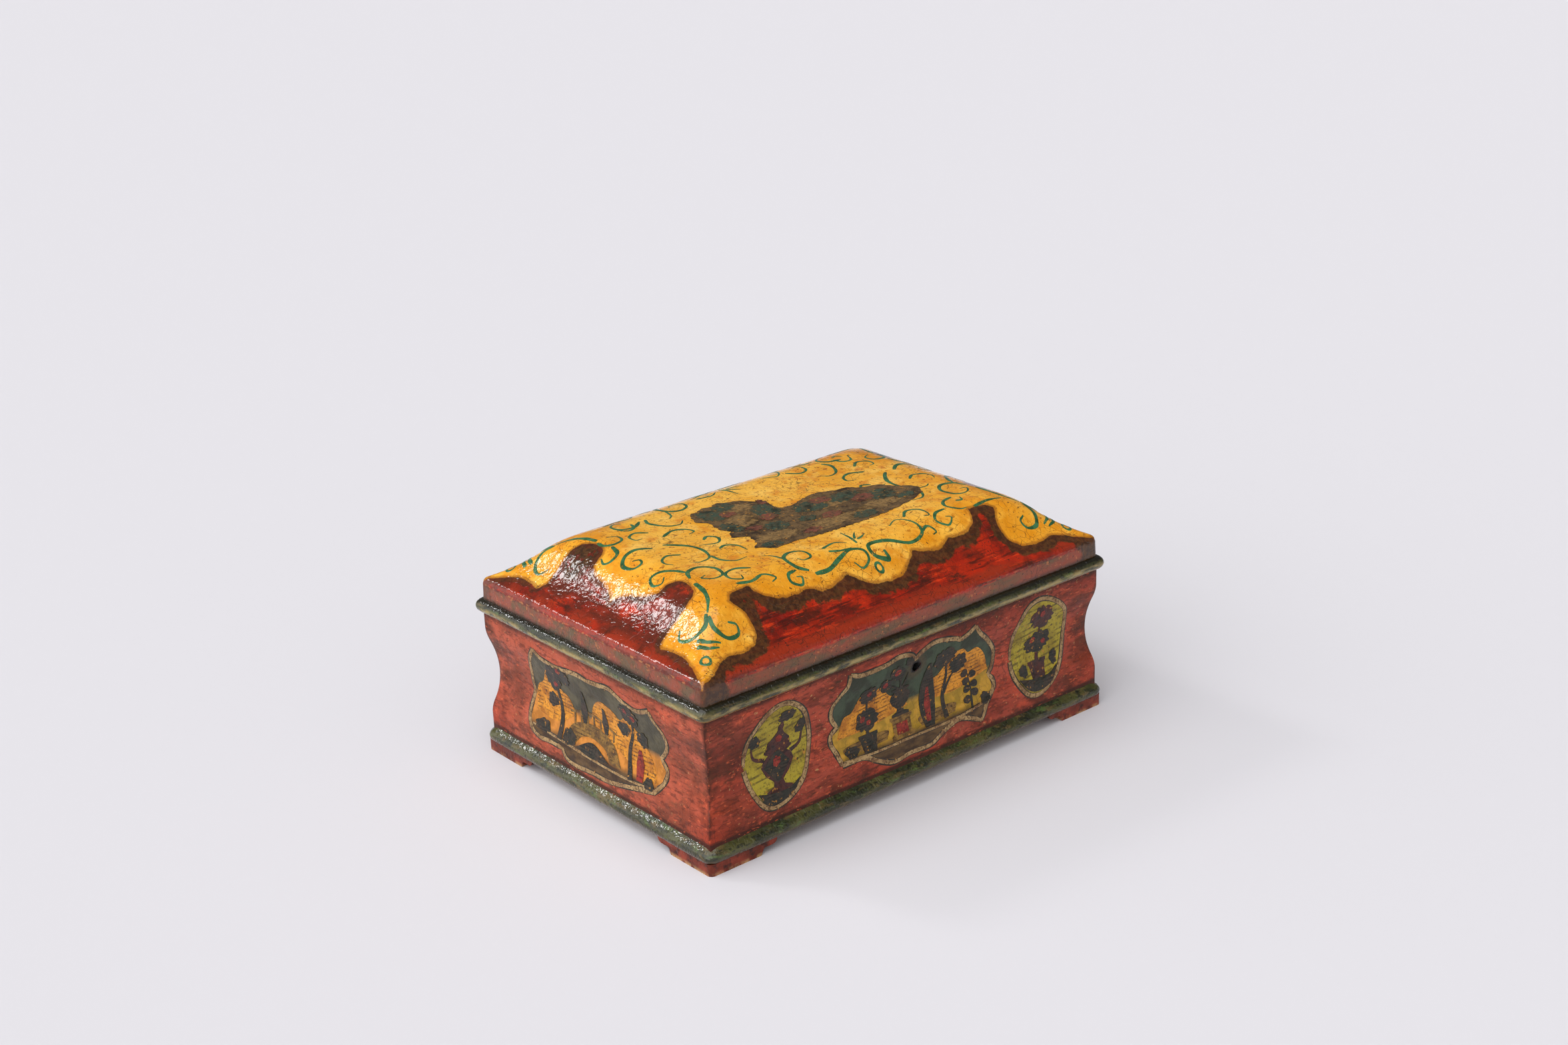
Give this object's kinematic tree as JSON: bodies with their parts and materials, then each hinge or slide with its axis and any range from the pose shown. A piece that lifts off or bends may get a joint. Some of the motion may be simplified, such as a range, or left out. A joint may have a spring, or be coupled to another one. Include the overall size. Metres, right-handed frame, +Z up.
{
  "type": "lacquered box",
  "caption": "Lacquered wooden box with coved sides, bracket feet, and a hinged ogee lid with a flat top and a lock let into the front wall.",
  "frame": {"origin": "middle of the four feet on the table, halfway along the length and the depth", "axes": "+Z up, +X along the long side, front with the keyhole towards -Y, hinges towards +Y"},
  "size_m": [0.3032, 0.2132, 0.1363],
  "materials": {
    "green_lacquered_moulding": "dark green paint under aged glossy varnish, worn to wood on the nose",
    "dark_red_lacquered_feet": "dark red-brown paint under varnish, worn on the bottom edges",
    "red_lacquered_wood": "brick red paint with applied cut-outs under uneven glossy varnish",
    "amber_and_red_lacquered_lid": "amber and red paint with green scrolls under uneven glossy varnish",
    "bare_pine": "bare aged softwood",
    "wrought_iron": "dark aged iron"
  },
  "bodies": {
    "box": {"back_base_moulding": "green_lacquered_moulding", "back_left_foot_end_bracket": "dark_red_lacquered_feet", "back_left_foot_long_bracket": "dark_red_lacquered_feet", "back_right_foot_end_bracket": "dark_red_lacquered_feet", "back_right_foot_long_bracket": "dark_red_lacquered_feet", "back_wall": "red_lacquered_wood", "bottom_board": "bare_pine", "carcass_hinge_nails": "wrought_iron", "front_base_moulding": "green_lacquered_moulding", "front_left_foot_end_bracket": "dark_red_lacquered_feet", "front_left_foot_long_bracket": "dark_red_lacquered_feet", "front_right_foot_end_bracket": "dark_red_lacquered_feet", "front_right_foot_long_bracket": "dark_red_lacquered_feet", "front_wall": "red_lacquered_wood", "key_pin": "wrought_iron", "left_base_moulding": "green_lacquered_moulding", "left_hinge_carcass_leaf": "wrought_iron", "left_hinge_pin": "wrought_iron", "left_wall": "red_lacquered_wood", "lock_case": "wrought_iron", "lock_nails": "wrought_iron", "lock_plate": "wrought_iron", "right_base_moulding": "green_lacquered_moulding", "right_hinge_carcass_leaf": "wrought_iron", "right_hinge_pin": "wrought_iron", "right_wall": "red_lacquered_wood"},
    "lid": {"lid_back": "amber_and_red_lacquered_lid", "lid_back_moulding": "green_lacquered_moulding", "lid_front": "amber_and_red_lacquered_lid", "lid_front_moulding": "green_lacquered_moulding", "lid_left": "amber_and_red_lacquered_lid", "lid_left_moulding": "green_lacquered_moulding", "lid_right": "amber_and_red_lacquered_lid", "lid_right_moulding": "green_lacquered_moulding", "lid_top": "amber_and_red_lacquered_lid", "left_hinge_lid_leaf": "wrought_iron", "right_hinge_lid_leaf": "wrought_iron", "lid_hinge_nails": "wrought_iron", "staple": "wrought_iron", "staple_nails": "wrought_iron"},
    "lock_bolt": {"lock_bolt": "wrought_iron"}
  },
  "joints": [
    {"name": "lid_hinge", "type": "hinge", "parent": "box", "child": "lid", "pos_m": [0, 0.1025, 0.0876], "axis": [-1, 0, 0], "range_deg": [0, 105]},
    {"name": "bolt_slide", "type": "slide", "parent": "box", "child": "lock_bolt", "axis": [1, 0, 0], "range_m": [0, 0.005]}
  ]
}
